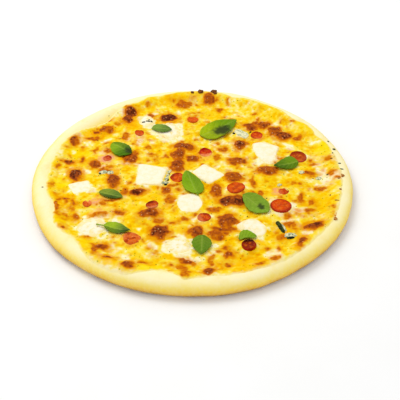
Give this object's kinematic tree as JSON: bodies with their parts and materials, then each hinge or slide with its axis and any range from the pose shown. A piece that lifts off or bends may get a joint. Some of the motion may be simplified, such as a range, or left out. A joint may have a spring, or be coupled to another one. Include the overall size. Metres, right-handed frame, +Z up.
{
  "type": "pizza",
  "caption": "Whole thin round pizza with a pale risen crust, browned melted cheese, cherry tomato slices, white cheese lumps and basil leaves.",
  "frame": {"origin": "middle of the flat underside of the crust", "axes": "+Z up from the underside to the toppings, -Y towards the side nearest the camera in the picture, +X to its right"},
  "size_m": [0.3014, 0.2989, 0.0168],
  "materials": {
    "crust": "matt baked dough, pale cream on the rim and golden yellow towards its foot, finely dusted and dimpled",
    "melted_cheese": "soft oily gloss, cream to golden yellow with brown blisters",
    "tomato": "wet gloss, orange red flesh in dark red skin",
    "white_cheese": "soft satin, milky white with a faint yellow edge",
    "basil": "satin leaf, mid green with darker wilted patches and pale veins"
  },
  "bodies": {
    "root": {"crust": "crust", "melted_cheese": "melted_cheese", "tomato_slice_01": "tomato", "tomato_slice_02": "tomato", "tomato_slice_03": "tomato", "tomato_slice_04": "tomato", "tomato_slice_05": "tomato", "tomato_slice_06": "tomato", "tomato_slice_07": "tomato", "tomato_slice_08": "tomato", "tomato_slice_09": "tomato", "tomato_slice_10": "tomato", "tomato_slice_11": "tomato", "tomato_slice_12": "tomato", "tomato_slice_13": "tomato", "tomato_slice_14": "tomato", "tomato_slice_15": "tomato", "white_cheese_01": "white_cheese", "white_cheese_02": "white_cheese", "white_cheese_03": "white_cheese", "white_cheese_04": "white_cheese", "white_cheese_05": "white_cheese", "white_cheese_06": "white_cheese", "white_cheese_07": "white_cheese", "white_cheese_08": "white_cheese", "white_cheese_09": "white_cheese", "white_cheese_10": "white_cheese", "white_cheese_11": "white_cheese", "basil_leaf_01": "basil", "basil_leaf_02": "basil", "basil_leaf_03": "basil", "basil_leaf_04": "basil", "basil_leaf_05": "basil", "basil_leaf_06": "basil", "basil_leaf_07": "basil", "basil_leaf_08": "basil", "basil_leaf_09": "basil", "basil_leaf_10": "basil"}
  },
  "joints": []
}
